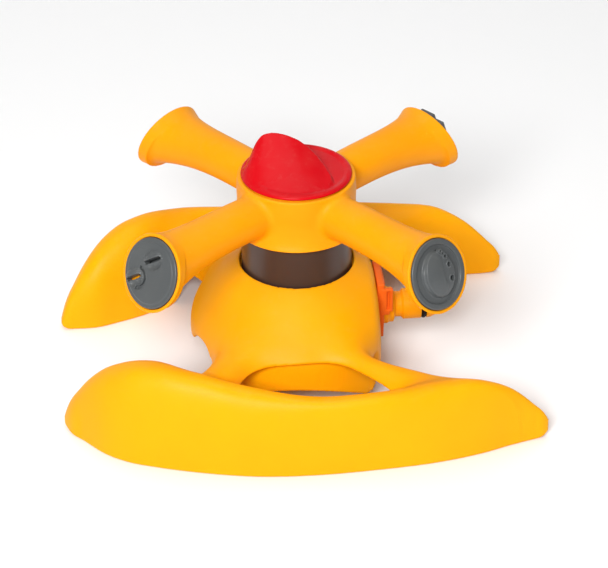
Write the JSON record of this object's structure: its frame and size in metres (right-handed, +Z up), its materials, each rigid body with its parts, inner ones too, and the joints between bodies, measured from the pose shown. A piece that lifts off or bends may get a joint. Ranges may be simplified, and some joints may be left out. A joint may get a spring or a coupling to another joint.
{
  "type": "rotating lawn sprinkler",
  "caption": "Rotating garden sprinkler: moulded base with long skids, a spinning rotor whose arms carry different spray heads, a selector dial on top and a hose inlet at the side.",
  "frame": {"origin": "on the rotor's axis at ground level, under the middle of the base", "axes": "+X towards the hose inlet, +Z up along the rotor's axis"},
  "size_m": [0.252, 0.214, 0.1373],
  "materials": {
    "yellow_plastic": "satin moulded, warm yellow",
    "amber_plastic": "satin moulded, deeper yellow",
    "orange_plastic": "satin moulded, orange",
    "red_plastic": "smooth moulded, red",
    "dark_plastic": "smooth moulded, dark warm grey",
    "head_plastic": "fine matte moulded, grey",
    "grey_plastic": "moulded grey",
    "white_plastic": "natural acetal",
    "seal_rubber": "moulded black rubber",
    "screw_steel": "stainless"
  },
  "bodies": {
    "base": {"base_shell": "yellow_plastic", "base_collar": "dark_plastic", "riser_tube": "grey_plastic", "riser_o_ring": "seal_rubber", "riser_screws": "screw_steel", "inlet_elbow": "grey_plastic", "inlet_spigot": "amber_plastic", "spigot_o_ring": "seal_rubber", "elbow_o_ring": "seal_rubber", "inlet_filter": "screw_steel", "inlet_clip": "orange_plastic", "thrust_washer": "white_plastic", "retaining_clip": "screw_steel"},
    "rotor": {"rotor_body": "yellow_plastic", "rotor_bush": "white_plastic", "rotor_seal": "seal_rubber", "valve_seat": "grey_plastic", "port_seals": "seal_rubber", "hub_cap": "yellow_plastic", "spindle_seal": "seal_rubber", "head_seals": "seal_rubber", "twin_slot_head": "head_plastic", "shower_head": "head_plastic", "fan_head": "head_plastic", "jet_head": "head_plastic"},
    "selector": {"selector_disc": "white_plastic", "selector_dial": "red_plastic", "dial_screw": "screw_steel"}
  },
  "joints": [
    {"name": "rotor_spin", "type": "hinge", "parent": "base", "child": "rotor", "pos_m": [0, 0, 0.095], "axis": [0, 0, 1], "continuous": true},
    {"name": "dial_turn", "type": "hinge", "parent": "rotor", "child": "selector", "pos_m": [0, 0, 0.118], "axis": [0, 0, 1], "continuous": true}
  ]
}
